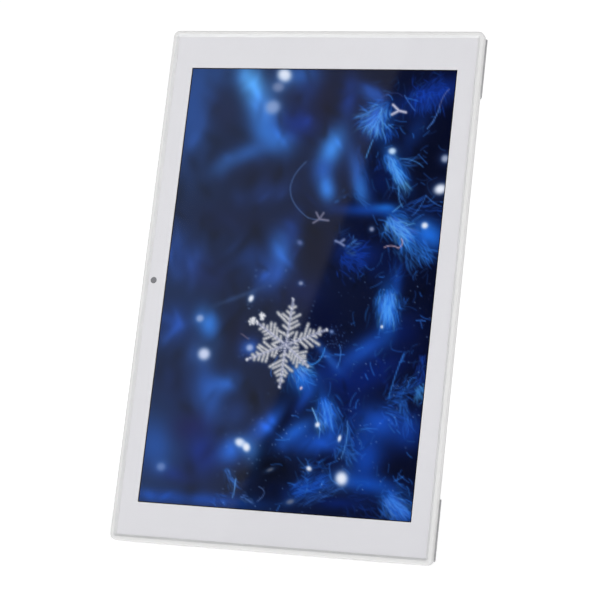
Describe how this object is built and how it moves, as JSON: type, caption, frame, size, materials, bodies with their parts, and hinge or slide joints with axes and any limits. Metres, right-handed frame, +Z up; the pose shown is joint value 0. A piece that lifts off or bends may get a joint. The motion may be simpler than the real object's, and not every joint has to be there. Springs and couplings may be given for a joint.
{
  "type": "digital photo frame",
  "caption": "Slim upright digital photo frame with a glass-fronted screen, side keys and a fold-out leg on a turning disc at the back.",
  "frame": {"origin": "on the surface it stands on, below the middle of the whole object's box, with the leg open", "axes": "+X to the viewer's right along the screen's lower edge, +Y away from the viewer towards the stand, +Z up"},
  "size_m": [0.1606, 0.0938, 0.2427],
  "materials": {
    "cover_glass": "clear polished",
    "white_ink": "white print behind glass",
    "white_shell": "satin moulded",
    "lcd_glass": "lit display showing a blue picture",
    "camera_glass": "dark polished",
    "white_film": "matt",
    "clear_acrylic": "clear polished",
    "black_plastic": "matt",
    "circuit_board": "solder resist",
    "amber_flex": "flexible circuit",
    "steel": "plain",
    "chassis_alloy": "pressed sheet",
    "battery_foil": "foil pouch",
    "grey_rubber": "matt"
  },
  "bodies": {
    "body": {"cover_glass": "cover_glass", "border_print": "white_ink", "glass_tape": "black_plastic", "mid_frame": "white_shell", "camera_window": "camera_glass", "camera_module": "black_plastic", "lcd_cell": "lcd_glass", "backlight_frame": "white_film", "optical_films": "white_film", "light_guide": "clear_acrylic", "reflector_sheet": "white_film", "backlight_led_strip": "white_film", "lcd_back_tray": "steel", "display_flex": "amber_flex", "display_driver_board": "circuit_board", "display_cable": "amber_flex", "chassis_plate": "chassis_alloy", "main_board": "circuit_board", "processor_shield": "steel", "wifi_module": "steel", "usb_port": "steel", "card_slot": "steel", "battery_pack": "battery_foil", "battery_lead": "black_plastic", "speaker_lower": "black_plastic", "speaker_upper": "black_plastic", "speaker_lead_lower": "black_plastic", "wifi_antenna": "amber_flex", "side_key_board": "circuit_board", "rear_cover": "white_shell", "upright_foot_left": "grey_rubber", "upright_foot_right": "grey_rubber", "side_foot_lower": "grey_rubber", "side_foot_upper": "grey_rubber", "chassis_screw_1": "steel", "chassis_screw_2": "steel", "chassis_screw_3": "steel", "chassis_screw_4": "steel", "board_screw_1": "steel", "board_screw_2": "steel", "board_screw_3": "steel", "cover_screw_1": "steel", "cover_screw_2": "steel", "cover_screw_3": "steel", "cover_screw_4": "steel"},
    "swivel": {"swivel_disc": "white_shell", "swivel_friction_washer": "steel", "swivel_retainer": "steel", "swivel_screw_1": "steel", "swivel_screw_2": "steel", "swivel_screw_3": "steel", "leg_hinge_pin": "steel"},
    "leg": {"stand_leg": "white_shell", "leg_foot": "grey_rubber"},
    "power_key": {"power_button": "white_shell"},
    "volume_key": {"volume_rocker": "white_shell"}
  },
  "joints": [
    {"name": "stand_swivel", "type": "hinge", "parent": "body", "child": "swivel", "pos_m": [-0.0002, 0.00716, 0.11828], "axis": [0, -0.9421, 0.3355], "range_deg": [0, 90]},
    {"name": "leg_fold", "type": "hinge", "parent": "swivel", "child": "leg", "pos_m": [-0.0002, 0.00857, 0.11778], "axis": [1, 0, 0], "range_deg": [-32.15, 42.85]},
    {"name": "power_press", "type": "slide", "parent": "body", "child": "power_key", "axis": [1, 0, 0], "range_m": [0, 0.0004], "stiffness_N_per_m": 800, "springref_m": -0.0004},
    {"name": "volume_rock", "type": "hinge", "parent": "body", "child": "volume_key", "pos_m": [-0.0777, 0.02489, 0.18415], "axis": [0, 0.9421, -0.3355], "range_deg": [-1.8, 1.8], "stiffness_Nm_per_rad": 1.5}
  ]
}
